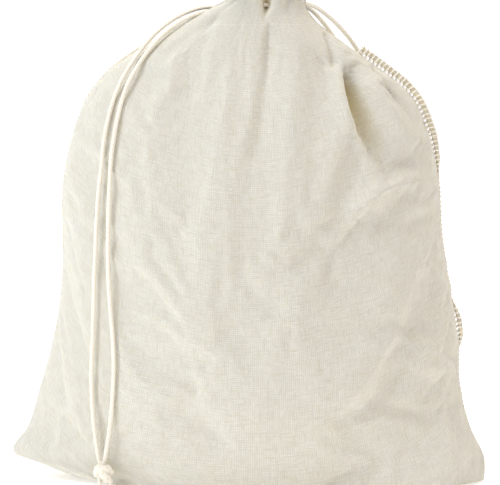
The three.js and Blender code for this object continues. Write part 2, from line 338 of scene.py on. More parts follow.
sack = {
    # height, reach to the left, reach to the right, front depth, back depth, pinch of the edges
    "levels": [
        (0, 100, 119, 46, 44, 1.2),
        (12, 121, 119, 49, 49, 1.5),
        (26, 114, 112.5, 53.5, 53.5, 1.5),
        (45, 108, 107.5, 56, 56, 1.35),
        (70, 101, 106, 56, 56, 1.25),
        (96, 96.5, 102, 54, 54.5, 1.2),
        (124, 95.5, 97.5, 51, 52, 1.15),
        (152, 95, 95.5, 46.5, 48, 1.1),
        (178, 89, 89.5, 40, 41.5, 1.05),
        (198, 80.5, 79, 34, 35, 1.0),
        (211, 68.5, 63, 29, 29.5, 1.0),
        (222, 52, 48, 25, 25, 0.95),
        (232, 35, 34.5, 21.5, 21.5, 0.9),
        (240, 20.5, 28.5, 18.5, 18.5, 0.85),
        (245, 11, 28, 17.2, 17.2, 0.8),
        (251, 9.5, 28.6, 17.8, 17.8, 0.8),
    ],
    "brim": 250.6,
    "columns": 196,
    "rows": 228,
    "flatWidth": 254.0,
    "flatLength": 305.0,
    "cornerFrom": 0.74,  # share of the half width where the base starts to lift to the corners
    "leftLift": 11.0,
    "rightLift": 1.0,
    "arch": (-81, 9.5, 6.5),  # where the front base bows up beside the left knot, its width and height
    "rightSway": 15.0,  # the right corner sits forward of the middle
    "slitFrom": 222.0,  # the panels part here for the cords
    "slitHalf": 3.9,
    "hemRoll": 1.5,
    "hemDepth": 18.5,
    "thickness": 0.4,
    "neckX": 8.0,
    "foldShadeFrom": 3.2,  # folds deeper than this get painted shade, a darker warmer colour, wholly so
    "foldShadeTo": 11.2,  # from this depth
    "mouthFrom": 236.0,  # the gathers and the slit are full from this height
    "swayTo": 62.0,  # height the right corner's sway dies out at
    "baseSteps": 30,
    "wallSteps": 400,
    "brimDip": 0.75,  # the brim dips by this share of a gather's depth
    "hemTurn": 0.12,  # share of the hem's length that rolls over the brim
    "hemInset": 2.4,
    "hemShade": 6.0,  # painted shade: the hem inside is tinted like a fold this deep
}


def levelCurve(column):
    # a smooth curve through one column of the levels, as heights and values
    table = np.array(sack["levels"], float)
    heights, values = table[:, 0], table[:, column]
    slopes = np.gradient(values, heights)
    dense = np.linspace(0, heights[-1], 800)
    i = np.clip(np.searchsorted(heights, dense, side="right") - 1, 0, len(heights) - 2)
    span = heights[i + 1] - heights[i]
    t = (dense - heights[i]) / span
    low = (2 * t ** 3 - 3 * t ** 2 + 1) * values[i] + (t ** 3 - 2 * t ** 2 + t) * span * slopes[i]
    return dense, low + (3 * t ** 2 - 2 * t ** 3) * values[i + 1] + (t ** 3 - t ** 2) * span * slopes[i + 1]


levelCurves = [levelCurve(column) for column in range(6)]


def level(column, z):
    return np.interp(z, *levelCurves[column])


# Gathers: deep folds where the cords pull the cloth in. Each is its place at the top and at its foot, from -1
# at the left seam to 1 at the right, its depth and width, and the heights it starts and is full at.
gathers = {
    -1: [
        (0.28, 0.2, 8.0, 1.9, 231, 246),
        (-0.7, -0.55, 1.2, 2.6, 216, 246),
        (0.72, 0.6, 1.6, 2.0, 226, 248),
    ],
    1: [
        (-0.5, -0.42, 6.5, 3.0, 218, 240),
        (0.1, 0.12, 7.0, 3.0, 214, 240),
        (0.62, 0.5, 5.0, 2.8, 222, 242),
    ],
}
# Creases: soft folds over the cloth. Each is a line of (x, z) points in millimetres, its depth (a negative
# one stands out), its width at the start and the end, how steep its left side is, and how much it fades.
creases = {
    -1: [
        ([(47.5, 212), (48.8, 206), (50.6, 199), (53.6, 190), (58.5, 179), (66, 166), (75, 156)],
         13.5, 4.6, 19.0, 1.0, 0.93),
        ([(42, 215), (44, 203), (47, 190), (53, 176)], -2.2, 3.0, 5.0, 0, 0),
        ([(55, 211), (71, 188), (86, 167)], -3.4, 3.4, 6.5, 0, 0),
        ([(48, 225), (60, 212), (72, 198), (84, 184)], 3.2, 2.8, 4.6, 1.2, 0),
        ([(62, 144), (44, 122), (36, 96)], 2.2, 5.0, 12.0, 0.9, 0),
        ([(98, 138), (78, 132), (58, 134)], 1.6, 4.0, 6.0, 0, 0),
        ([(102, 74), (72, 84), (50, 78), (30, 84)], 1.7, 4.0, 7.0, 0, 0),
        ([(96, 34), (64, 44), (34, 36)], 1.4, 4.0, 6.0, 0, 0),
        ([(37, 230), (40, 220), (43, 209)], 2.6, 1.8, 2.6, 0.5, 0),
        ([(9, 238), (8, 215), (6, 190), (1, 160)], 2.6, 2.4, 8.0, 0.6, 0),
        ([(-12, 238), (-29, 229), (-50, 211)], 2.2, 2.0, 4.0, 0, 0),
        ([(-18, 234), (-27, 220), (-34, 186)], 2.6, 3.0, 10.0, 0, 0),
        ([(-34, 218), (-46, 192), (-52, 170)], -1.3, 3.0, 6.0, 0, 0),
        ([(20, 238), (24, 214), (26, 190)], -1.4, 5.0, 9.0, 0, 0),
        ([(90, 160), (62, 147), (48, 135)], -2.8, 6.0, 9.0, 0.4, 0),
        ([(96, 176), (78, 160), (62, 156)], 1.6, 5.0, 6.0, 0, 0),
        ([(40, 128), (18, 112), (6, 88)], 1.8, 9.0, 12.0, 0, 0),
        ([(106, 52), (88, 63), (70, 68)], -2.0, 6.0, 8.0, 0, 0),
        ([(64, 40), (84, 78), (92, 110)], 1.6, 6.0, 9.0, 0, 0),
        ([(74, 22), (67, 0)], -1.2, 3.0, 4.0, 0, 0),
        ([(14, 14), (13, 0)], -0.9, 3.0, 4.0, 0, 0),
        ([(-96, 40), (-104, 22), (-112, 12)], 1.6, 4.0, 5.0, 0, 0),
        ([(100, 44), (106, 26), (112, 12)], 1.8, 4.0, 5.0, 0, 0),
    ],
    1: [
        ([(-2, 236), (-22, 205), (-46, 160)], 3.0, 3.0, 9.0, 0.3, 0),
        ([(11, 236), (14, 205), (8, 165)], 2.4, 3.0, 9.0, 0, 0),
        ([(24, 232), (42, 200), (50, 172)], 2.6, 3.0, 8.0, 0, 0),
        ([(-70, 190), (-52, 176), (-30, 170)], 1.5, 6.0, 8.0, 0, 0),
        ([(60, 70), (20, 52), (-20, 60)], -1.6, 8.0, 9.0, 0, 0),
        ([(-96, 40), (-104, 22), (-112, 12)], 1.8, 4.0, 5.0, 0, 0),
        ([(98, 44), (104, 26), (110, 12)], 1.6, 4.0, 5.0, 0, 0),
    ],
}


def evenAcross(columns):
    # shares of the half width that stand evenly spaced along the cloth at mid height
    dense = np.linspace(-1, 1, 2001)
    depth = 53 * np.maximum(1 - dense ** 2, 0) ** 0.6
    run = np.concatenate([[0], np.cumsum(np.hypot(np.diff(98 * dense), np.diff(depth)))])
    return np.interp(np.linspace(0, run[-1], columns + 1), run, dense)


def bodyPoint(across, z, side):
    # a point of the front (side -1) or back (side 1) cloth, in millimetres
    reach = np.where(across < 0, level(1, z), level(2, z))
    depth = level(3 if side < 0 else 4, z)
    slit = sack["slitHalf"] * smoothStep(z, sack["slitFrom"], sack["mouthFrom"])
    bow = np.maximum(1 - across ** 2, 0) ** (level(5, z) / 2)
    sway = sack["rightSway"] * smoothStep(across, 0.4, 1) * (1 - smoothStep(z, 0, sack["swayTo"]))
    return np.stack([across * reach, side * np.maximum(depth * bow, slit) - sway, z + 0 * across], axis=-1)


def seamPoint(across, z):
    # midway between the front and the back cloth
    return (bodyPoint(np.array(across), np.array(z), -1) + bodyPoint(np.array(across), np.array(z), 1)) / 2


def inward(points):
    # unit steps towards the middle of the sack, in plan
    plan = np.stack([-0.45 * (points[..., 0] - sack["neckX"]), -points[..., 1]], axis=-1)
    plan /= np.maximum(np.linalg.norm(plan, axis=-1, keepdims=True), 1e-6)
    return np.concatenate([plan, 0 * plan[..., :1]], axis=-1)


def gatherDepth(across, z, side):
    total = np.zeros(np.broadcast(across, z).shape)
    for top, foot, depth, wide, begin, full in gathers[side]:
        grown = smoothStep(z, begin, full)
        middle = foot + (top - foot) * grown
        reach = (level(1, z) + level(2, z)) / 2
        away = (across - middle) * reach / (wide * (0.6 + 0.4 * grown))
        total = total + depth * grown * np.exp(-away ** 2)
    return total


creaseSteps = 23


def creaseDepth(x, z, side):
    total = np.zeros(np.broadcast(x, z).shape)
    for line, depth, narrow, broad, lean, fade in creases[side]:
        line = np.array(line, float)
        run = lengthsAlong(line)
        spine = pointsAt(np.linspace(0, run[-1], creaseSteps + 1), run, line)
        gap = np.hypot(x[..., None] - spine[:, 0], z[..., None] - spine[:, 1])
        nearest = gap.argmin(axis=-1)
        share = nearest / creaseSteps
        ends = np.minimum(share, 1 - share)
        wide = narrow + (broad - narrow) * share
        wide = wide * (1 - lean * 0.72 * (x < spine[nearest, 0]))
        grown = smoothStep(ends, -0.02, 0.22) * (1 - fade * share)
        total = total + depth * grown * np.exp(-(gap.min(axis=-1) / wide) ** 2)
    return total


foldDepths = {}


def clothGrid(side, columns, rows, withHem=True):
    # places of a panel's grid, rows from the bottom seam up, then over the brim and down inside as the hem
    across = evenAcross(columns)
    brim = sack["brim"]
    hemRows = round(rows * (sack["hemDepth"] + 3 * sack["hemRoll"]) / sack["flatLength"]) if withHem else 0
    grid = np.zeros((rows + hemRows + 1, columns + 1, 3))
    for j, share in enumerate(across):
        corner = sack["leftLift"] if share < 0 else sack["rightLift"]
        lift = corner * smoothStep(abs(share), sack["cornerFrom"], 1.0) ** 1.2
        at, wide, high = sack["arch"]
        arch = high * math.exp(-((share * level(1, 0) - at) / wide) ** 2) * (side < 0)
        foot = bodyPoint(np.array(share), np.array(lift + arch), side)
        middle = seamPoint(share, lift)
        outwards = np.linspace(0, 1, sack["baseSteps"])
        base = np.stack([middle + (foot - middle) * [s, s, s ** 3] for s in outwards])
        heights = np.linspace(lift + arch, brim, sack["wallSteps"])
        wall = bodyPoint(np.full(sack["wallSteps"], share), heights, side)
        path = np.concatenate([base, wall[1:]])
        run = lengthsAlong(path)
        at = np.linspace(0, run[-1], rows + 1)
        grid[:rows + 1, j] = pointsAt(at, run, path)
    outer = grid[:rows + 1]
    spread = np.broadcast_to(across, outer.shape[:2])
    into = inward(outer)
    fold = gatherDepth(spread, outer[..., 2], side)
    edge = smoothStep(1 - np.abs(spread), 0, 0.08)
    soft = creaseDepth(outer[..., 0], outer[..., 2], side) * edge * smoothStep(outer[..., 2], -1, 9)
    outer += into * (fold + soft)[..., None]
    if withHem:
        foldDepths[side] = fold + soft
    dip = sack["brimDip"] * gatherDepth(across, np.full(columns + 1, brim), side)
    dip *= smoothStep(1 - np.abs(across), 0, 0.2)
    outer[..., 2] -= dip * smoothStep(outer[..., 2], sack["mouthFrom"], brim)
    for r in range(hemRows):  # over the brim and down inside
        roll = sack["hemRoll"]
        s = (r + 1) / hemRows
        down = sack["hemDepth"] * max(0, (s - sack["hemTurn"]) / (1 - sack["hemTurn"]))
        turn = math.pi * min(1, s / sack["hemTurn"])
        brimRow = outer[rows]
        inset = roll * (1 - math.cos(turn)) + sack["hemInset"] * smoothStep(s, 0.1, 0.5)
        row = brimRow + inward(brimRow) * inset
        row[:, 2] = brimRow[:, 2] + roll * math.sin(turn) - down
        grid[rows + 1 + r] = row
    return grid


# Wrinkles, by cloth simulation on a coarser copy of both panels

cloth = {
    "columns": 64,
    "rows": 80,
    "frames": 22,
    "growth": -0.045,  # the cloth is this much larger than the form it fills, so it buckles
    "pressure": 1.2,
    "bending": 0.02,
    "smoothing": 7,  # grid steps; anything wider than this comes from the form, not the simulation
    "uprights": 0.65,  # how much of the long upright ridges is taken out again
    "uprightLength": 9,  # grid steps
    "strength": 0.85,
    "mostOut": 1.1,
    "mostIn": 2.2,
    "cordRoom": 7.0,  # wrinkles stand out fully only this far from a cord
    "quality": 6,
    "mass": 0.15,
    "stiffness": 12,
    "gravity": 0.15,
    "heldEdge": 0.03,  # share of the width at each seam that holds the cloth
    "heldRows": 3,  # rows at the bottom seam that hold it
    "heldNeck": (0.214, 0.236),  # heights in metres between which the neck comes to hold it
}


def gridMesh(name, grid, mirrored):
    # a panel: a flat grid of the cloth, moved to its place, with the flat cloth's own measures as UVs
    rows, columns = grid.shape[0] - 1, grid.shape[1] - 1
    rowLength = sack["flatLength"] / sack["rows"] * mm
    bm = bmesh.new()
    bmesh.ops.create_grid(bm, x_segments=columns, y_segments=rows, size=1)
    uvLayer = bm.loops.layers.uv.new("cloth")
    for face in bm.faces:
        for loop in face.loops:
            across, along = (loop.vert.co.x + 1) / 2, (loop.vert.co.y + 1) / 2
            loop[uvLayer].uv = (across * sack["flatWidth"] * mm, along * rows * rowLength)
    for vert in bm.verts:
        j = round((vert.co.x + 1) / 2 * columns)
        i = round((vert.co.y + 1) / 2 * rows)
        vert.co = Vector(grid[i, columns - j if mirrored else j]) * mm
    return meshFrom(name, bm)


def blur(field, steps, axes=(0, 1)):
    kernel = np.exp(-(np.arange(-2 * steps, 2 * steps + 1) / steps) ** 2)
    kernel /= kernel.sum()
    for axis in axes:
        edged = np.concatenate([np.repeat(np.take(field, [0], axis), 2 * steps, axis), field,
                                np.repeat(np.take(field, [-1], axis), 2 * steps, axis)], axis)
        field = np.apply_along_axis(lambda line: np.convolve(line, kernel, mode="valid"), axis, edged)
    return field


def enlarge(field, rows, columns):
    # the same field on a finer grid, by smooth interpolation along each way
    for axis, count in ((0, rows), (1, columns)):
        at = np.linspace(0, field.shape[axis] - 1, count + 1)
        low = np.clip(np.floor(at).astype(int), 0, field.shape[axis] - 2)
        t = (at - low).reshape([-1, 1, 1] if axis == 0 else [1, -1, 1])
        take = lambda k: np.take(field, np.clip(low + k, 0, field.shape[axis] - 1), axis)
        a, b, c, d = take(-1), take(0), take(1), take(2)
        field = b + 0.5 * t * (c - a + t * (2 * a - 5 * b + 4 * c - d + t * (3 * (b - c) + d - a)))
    return field


def simulateWrinkles():
    # blows up a slightly larger copy of each panel inside its held edges, and keeps only the fine part
    grids = {side: clothGrid(side, cloth["columns"], cloth["rows"], withHem=False) for side in (-1, 1)}
    wrinkles = {}
    for side, grid in grids.items():
        body = gridMesh("wrinkle_run", grid, mirrored=side > 0)
        rest = np.array([v.co for v in body.data.vertices])
        held = body.vertex_groups.new(name="held")
        rows, columns = cloth["rows"], cloth["columns"]
        for v in body.data.vertices:
            i, j = divmod(v.index, columns + 1)
            onEdge = min(j, columns - j) / columns
            weight = max(1 - onEdge / cloth["heldEdge"], smoothStep(v.co.z, *cloth["heldNeck"]),
                         1 - i / cloth["heldRows"], 0)
            held.add([v.index], float(min(weight, 1)), "REPLACE")
        modifier = body.modifiers.new("cloth", "CLOTH")
        modifier.point_cache.frame_start = 1
        modifier.point_cache.frame_end = cloth["frames"]
        s = modifier.settings
        s.quality = cloth["quality"]
        s.mass = cloth["mass"]
        s.tension_stiffness = s.compression_stiffness = s.shear_stiffness = cloth["stiffness"]
        s.bending_stiffness = cloth["bending"]
        s.vertex_group_mass = "held"
        s.shrink_min = cloth["growth"]
        s.use_pressure = True
        s.uniform_pressure_force = cloth["pressure"]
        s.effector_weights.gravity = cloth["gravity"]
        modifier.collision_settings.use_collision = False
        for number in range(1, cloth["frames"] + 1):
            scene.frame_set(number)
        shaped = body.evaluated_get(bpy.context.evaluated_depsgraph_get())
        moved = np.array([v.co for v in shaped.data.vertices]) - rest
        bpy.data.objects.remove(body)
        moved = moved.reshape(rows + 1, columns + 1, 3) / mm
        if side > 0:
            moved = moved[:, ::-1]
        fine = moved - blur(moved, cloth["smoothing"])
        wrinkles[side] = fine - cloth["uprights"] * blur(fine, cloth["uprightLength"], axes=(0,))
        print("wrinkles", side, "largest", round(float(np.abs(wrinkles[side]).max()), 2), "mm")
    scene.frame_set(1)
    return wrinkles


def settleWrinkles(grid, moved, side):
    # adds the simulated wrinkles to a panel, held back where a cord lies on it
    outer = grid[:sack["rows"] + 1]
    moved = enlarge(moved, sack["rows"], sack["columns"]) * cloth["strength"]
    into = inward(outer)
    depth = (moved * into).sum(axis=-1)
    depth = np.clip(depth, -cloth["mostOut"], cloth["mostIn"])
    near = np.full(depth.shape, 1e9)
    for node, route in cordRoutes.items():
        if node.startswith("left") == (side < 0):
            spine = np.array(route)
            for a, b in zip(spine, spine[1:]):
                for t in (0, 0.5):
                    p = a + (b - a) * t
                    near = np.minimum(near, np.hypot(outer[..., 0] - p[0], outer[..., 2] - p[2]))
    depth = np.where(depth < 0, depth * smoothStep(near, 3, cloth["cordRoom"]), depth)
    outer += into * depth[..., None]
    outer[..., 2] = np.maximum(outer[..., 2], 0)


bottomFold = {  # the bottom seam's allowance, folded flat under the base, in millimetres
    "reach": 92.0,
    "start": 0.2,
    "middle": 2.2,
    "halfWidth": 3.4,
    "height": 0.75,
    "room": 1.5,  # the base is lifted this much over it, dying out at the width and reach below
    "roomWidth": 9.0,
    "roomReach": 99.0,
    "clear": 0.05,
}


def liftBase(grid):
    # room under the base for the folded seam allowance, and nothing lower than the floor
    away = np.abs(grid[..., 1] - bottomFold["middle"])
    onFold = 1 - smoothStep(away, bottomFold["halfWidth"], bottomFold["roomWidth"])
    onFold *= 1 - smoothStep(np.abs(grid[..., 0]), bottomFold["reach"], bottomFold["roomReach"])
    grid[..., 2] = np.maximum(grid[..., 2], bottomFold["clear"] + bottomFold["room"] * onFold)
    return grid


panels = {side: clothGrid(side, sack["columns"], sack["rows"]) for side in (-1, 1)}
wrinkles = simulateWrinkles()
for side in (-1, 1):
    settleWrinkles(panels[side], wrinkles[side], side)
for side in (-1, 1):
    panels[side] = liftBase(panels[side])
print("cloth shaped")


def makePanel(name, side):
    # one cloth of the sack, with its thickness and painted shade set by how deep in a fold each point is
    piece = gridMesh(name, panels[side], mirrored=side > 0)
    depths = np.zeros(panels[side].shape[:2])
    depths[:sack["rows"] + 1] = foldDepths[side]
    depths[sack["rows"] + 1:] = sack["hemShade"]
    if side > 0:
        depths = depths[:, ::-1]
    # painted shade: deeper folds and the hem inside are tinted towards the fold colour
    shade = piece.data.attributes.new("fold", "FLOAT", "POINT")
    paintedShade = np.clip((depths - sack["foldShadeFrom"]) / (sack["foldShadeTo"] - sack["foldShadeFrom"]), 0, 1)
    shade.data.foreach_set("value", paintedShade.astype(np.float32).ravel())
    wall = piece.modifiers.new("wall", "SOLIDIFY")
    wall.thickness = sack["thickness"] * mm
    wall.offset = -1
    return piece


frontCloth = makePanel("front_cloth", -1)
backCloth = makePanel("back_cloth", 1)
print("panels done")


# Seams

seam = {
    "width": 4.4,
    "thickness": 0.7,
    "pitch": 2.4,  # between overlock stitches
    "thread": 0.4,  # radius of the overlock thread, drawn thicker than real sewing thread so that it shows
    # height, how far the allowance starts from the edge round the back, and its lift off the cloth in degrees
    "left": [(0, 3.4, 5), (30, 4.6, 3), (222, 4.6, 3)],
    "right": [(0, 3.2, 6), (62, 3.2, 8), (72, 1.2, 50), (80, 1.2, 56), (92, 3.2, 10), (152, 3.2, 8),
              (168, 1.0, 55), (180, 0, 92), (222, 0, 98)],
    "top": {"left": 222.0, "right": 217.5},
    "shade": {"left": 0.0, "right": 0.12, "bottom": 0.3},  # painted shade: how far the cloth between the stitches is tinted to the fold colour
    "parted": {"left": 0.0, "right": 1.9},  # the right one is pulled open, so light shows through
    "stations": 240,
    "tangent": 2.5,  # how far round the back the way of the cloth is read from
    "waviness": 4,  # degrees
    "clear": 0.75,  # how far an allowance that lies flat stands off the cloth
    "edgeLine": (0.5, 4.75),  # pitch share and place of the thread along the raw edge
    "needleLine": (0.25, 0.65),  # and of the needle line, which shows only on the bottom seam
    "seed": 5,
}


def allowanceFrames(edge):
    # where the allowance starts at each height, which way it goes from there, and the way its face looks
    hand = -1.0 if edge == "left" else 1.0
    zs = np.linspace(sack[edge + "Lift"] + 0.5, seam["top"][edge], seam["stations"])
    line = np.stack([seamPoint(hand, z) for z in zs])
    run = lengthsAlong(line)
    length = run[-1]
    stations = pointsAt(np.linspace(0, length, seam["stations"]), run, line)
    heights, starts, lifts = zip(*seam[edge])
    frames = []
    for i, point in enumerate(stations):
        along = stations[min(i + 1, len(stations) - 1)] - stations[max(i - 1, 0)]
        along /= np.linalg.norm(along)
        arc = bodyPoint(hand * (1 - 0.12 * np.linspace(0, 1, 60) ** 2), np.full(60, point[2]), 1)
        begin = np.interp(point[2], heights, starts)
        root, beyond = pointsAt(np.array([begin, begin + seam["tangent"]]), lengthsAlong(arc), arc)
        flat = (beyond - root) / np.linalg.norm(beyond - root)
        out = hand * np.array([flat[1], -flat[0], 0])
        out -= along * out.dot(along)
        out /= np.linalg.norm(out)
        wavy = seam["waviness"] * math.sin(i * 0.17)
        lift = math.radians(np.interp(point[2], heights, lifts) + wavy)
        width = flat * math.cos(lift) + out * math.sin(lift)
        face = np.cross(along, width)
        start = root + out * seam["clear"] * math.cos(lift) ** 2 - width * 0.3
        frames.append((start, width, face / np.linalg.norm(face)))
    return frames, length


def makeAllowance(name, frames, length, ripple, parted, paintedShade):
    # a strip that starts parted from the seam line, with painted shade: the last argument is how far its
    # colour goes to the fold colour
    bm = bmesh.new()
    bmesh.ops.create_grid(bm, x_segments=4, y_segments=len(frames) - 1, size=1)
    uvLayer = bm.loops.layers.uv.new("cloth")
    for patch in bm.faces:
        for loop in patch.loops:
            x, y, _ = loop.vert.co
            loop[uvLayer].uv = ((x + 1) * seam["width"] * mm / 2, (y + 1) * length * mm / 2)
    for vert in bm.verts:
        i = round((vert.co.y + 1) / 2 * (len(frames) - 1))
        share = (vert.co.x + 1) / 2
        start, width, face = frames[i]
        wave = ripple * share * (0.3 * math.sin(i * 0.55) + 0.2 * math.sin(i * 0.21 + 1))
        reach = parted + share * (seam["width"] - parted)
        vert.co = Vector(start + width * reach + face * wave) * mm
    piece = meshFrom(name, bm)
    # painted shade, even along the whole strip
    shade = piece.data.attributes.new("fold", "FLOAT", "POINT")
    shade.data.foreach_set("value", [paintedShade] * len(piece.data.vertices))
    wall = piece.modifiers.new("wall", "SOLIDIFY")
    wall.thickness = seam["thickness"] * mm
    wall.offset = 0
    return piece


def makeOverlock(name, frames, length, lines):
    # looped thread: each stitch goes over the face, round the raw edge and back under to the next one;
    # the loop's points are how far out, how high over the middle and how far along the pitch
    lift = seam["thickness"] / 2 + seam["thread"] * 0.6
    loop = [(0.3, lift, 0.0), (2.3, lift + 0.12, 0.26), (4.3, lift, 0.52), (4.95, 0.0, 0.6),
            (4.3, -lift, 0.68), (2.4, -lift - 0.1, 0.8), (0.5, -lift, 0.92), (0.3, 0.0, 0.98)]
    last = len(frames) - 1
    stitches = int(length / seam["pitch"])
    rng = np.random.default_rng(seam["seed"])
    uneven = rng.normal(0, 0.05, (stitches, 2))
    parts = []
    for k in range(stitches):
        route = []
        for out, up, ahead in loop:
            at = min((k + ahead * (1 + uneven[k, 0])) / stitches * last, last - 0.001)
            start, width, face = frames[int(at)]
            point = start + (frames[int(at) + 1][0] - start) * (at - int(at))
            route.append(point + width * out * (1 + uneven[k, 1]) + face * up)
        points, _ = curvePoints(np.array(route) * mm, 0.8 * mm)
        parts.append(sweepCord("stitch", points, seam["thread"] * mm, sides=6))
    for between, spread in lines:  # along the raw edge, and along the needle line where it shows
        route = []
        for k in np.arange(0, stitches, between):
            start, width, face = frames[int(k / stitches * last)]
            swing = 1 if (k / between) % 2 < 1 else -1
            route.append(start + width * (spread + 0.1 * swing) + face * (lift * (spread < 1) + 0.15 * swing))
        for first in range(0, len(route) - 12, 12):
            points, _ = curvePoints(np.array(route[first:first + 13]) * mm, 0.9 * mm)
            parts.append(sweepCord("line", points, seam["thread"] * mm * 0.8, sides=6))
    return joinPieces(name, parts)


def joinPieces(name, pieces):
    bm = bmesh.new()
    for piece in pieces:
        bm.from_mesh(piece.data)
        bpy.data.objects.remove(piece)
    return meshFrom(name, bm)


seamPieces = {}
for edge in ("left", "right"):
    frames, length = allowanceFrames(edge)
    seamPieces[edge] = (
        makeAllowance(edge + "_seam_allowance", frames, length, 1.0, seam["parted"][edge],
                      seam["shade"][edge]),
        makeOverlock(edge + "_seam_overlock", frames, length, [seam["edgeLine"]]),
    )


def makeBottomSeam():
    # the bottom seam's allowance lies folded flat under the sack, towards the back
    back, up = np.array([0, 1, 0]), np.array([0, 0, 1])
    line = np.linspace(-bottomFold["reach"], bottomFold["reach"], seam["stations"])
    frames = [(np.array([x, bottomFold["start"], bottomFold["height"]]), back, up) for x in line]
    length = 2 * bottomFold["reach"]
    return (makeAllowance("bottom_seam_allowance", frames, length, 0.0, 0.0, seam["shade"]["bottom"]),
            makeOverlock("bottom_seam_overlock", frames, length, [seam["edgeLine"], seam["needleLine"]]))


bottomSeam = makeBottomSeam()
print("seams done")


# Casing stitches

stitching = {"height": 232.6, "length": 1.5, "gap": 0.7, "thread": 0.085, "step": 0.3, "dive": 0.3}


def makeCasingStitches(name, side):
    # a row of running stitches, each with both ends sunk into the cloth
    outer = panels[side][:sack["rows"] + 1]
    row = []
    for j in range(2, sack["columns"] - 1):
        i = np.interp(stitching["height"], outer[:, j, 2], np.arange(sack["rows"] + 1))
        low = int(i)
        row.append(outer[low, j] + (outer[low + 1, j] - outer[low, j]) * (i - low))
    row = np.array(row)
    row = row - inward(row) * 0.02
    points, length = curvePoints(row, stitching["step"])
    every = stitching["length"] + stitching["gap"]
    parts = []
    for k in range(int(length / every)):
        first = int(k * every / stitching["step"])
        part = points[first:first + round(stitching["length"] / stitching["step"]) + 1] * mm
        dive = inward(part[[0, -1]] / mm) * stitching["dive"] * mm
        part = np.concatenate([part[:1] + dive[:1], part, part[-1:] + dive[1:]])
        parts.append(sweepCord("stitch", part, stitching["thread"] * mm, sides=6))
    return joinPieces(name, parts)


casingStitches = {
    -1: makeCasingStitches("front_casing_stitches", -1),
    1: makeCasingStitches("back_casing_stitches", 1),
}
print("casing stitches done")


# Cord inside the casing

runs = {  # the front half of each way round; the back half mirrors it
    "left_cord_front_run": [
        (-12.4, -3.6, 238.4), (-11.6, -5.6, 238.2), (-7, -7.6, 238), (0, -9, 238), (8, -9.6, 238),
        (16, -8.6, 238), (21.4, -5.6, 238.2), (23.4, -2.6, 238.4), (23.8, 0, 238.4),
    ],
    "right_cord_front_run": [
        (23.4, -3.6, 242), (21.6, -5.6, 242), (16, -8.4, 242), (8, -9.6, 242), (0, -9, 242),
        (-6, -7.4, 242), (-9.6, -5, 242), (-11.2, -2.4, 242), (-11.6, 0, 242),
    ],
}


runRadius = drawCord["diameter"] / 2 * 0.97  # the casing squeezes the cord a little


def makeRuns():
    made = {}
    for node, route in runs.items():
        for turn, key in ((1, node), (-1, node.replace("front", "back"))):
            points, _ = curvePoints(np.array([(x, turn * y, z) for x, y, z in route]) * mm, drawCord["step"])
            made[key] = sweepCord(key + "_cord", points, runRadius, relief=drawCord["relief"])
    return made


casingRuns = makeRuns()


# Knots and cut ends

knot = {
    "left": {"at": (-74.2, -39.9, 8.7), "turn": 1},
    "right": {"at": (74.0, 40.7, 8.7), "turn": -1},
    "squeeze": (1.1, 0.8, 1.25),
    "size": 0.98,
    "thick": 1.75,
    # the last turn, in front
    "lobe": [(-1.4, -3.0, 0.6), (0.2, -4.6, -0.6), (2.0, -4.8, -2.4), (3.2, -3.6, -4.4), (2.8, -1.8, -5.8)],
    "lobeThick": 2.3,
    # the turn that goes round the others
    "wrap": [(-3.6, -0.4, -1.6), (-3.2, -2.8, 0.8), (-0.8, -4.2, 2.2), (2.2, -3.7, 2.0), (4.0, -1.4, 0.4),
             (3.6, 1.2, -1.4)],
    "wrapThick": 2.0,
    "footRise": 1.2,
    "relief": 0.02,
    "outerRelief": 0.04,
}
tails = {  # from the knot's middle, for the front of the sack
    "front": [(1.0, -1.0, -3.0), (3.0, -2.4, -5.4), (5.6, -3.6, -6.8), (9.2, -4.4, -7.4)],
    "back": [(-1.4, -1.6, -2.8), (-1.6, -3.8, -5.4), (-0.2, -5.8, -6.9), (2.6, -7.6, -7.4)],
}
fray = {"fibres": 26, "thick": 0.11, "spread": 0.45, "bend": 0.35, "floor": 0.15}


def makeKnot(name, at, turn, feet):
    # a pulled-tight overhand knot, with the feet of the two strands going into its top
    points = []
    for t in np.linspace(0, 2 * math.pi, 96, endpoint=False):
        x = math.sin(t) + 2 * math.sin(2 * t)
        y = math.cos(t) - 2 * math.cos(2 * t)
        z = -1.5 * math.sin(3 * t)
        points.append([x * knot["squeeze"][0], z * knot["squeeze"][1], y * knot["squeeze"][2]])
    points = np.array(points) * knot["size"]
    points[:, :2] *= turn
    parts = [sweepCord("turns", (points + np.array(at)) * mm, knot["thick"] * mm, 12, knot["relief"], True)]
    swell = lambda s: 0.45 + 0.55 * math.sin(math.pi * min(max(s, 0.02), 0.98)) ** 0.5
    for turnName in ("lobe", "wrap"):
        route = np.array([(at[0] + turn * x, at[1] + turn * y, at[2] + z) for x, y, z in knot[turnName]])
        spine, _ = curvePoints(route * mm, 0.5 * mm)
        thick = knot[turnName + "Thick"] * mm
        parts.append(sweepCord(turnName, spine, thick, 14, knot["outerRelief"], taper=swell))
    middle = np.array(at) * mm
    for foot in feet:
        bend = foot * 0.45 + middle * 0.55 + np.array([0, 0, knot["footRise"]]) * mm
        spine, _ = curvePoints([foot, bend, middle], 0.6 * mm)
        parts.append(sweepCord("foot", spine, drawCord["diameter"] / 2, 12, drawCord["relief"]))
    return joinPieces(name, parts)


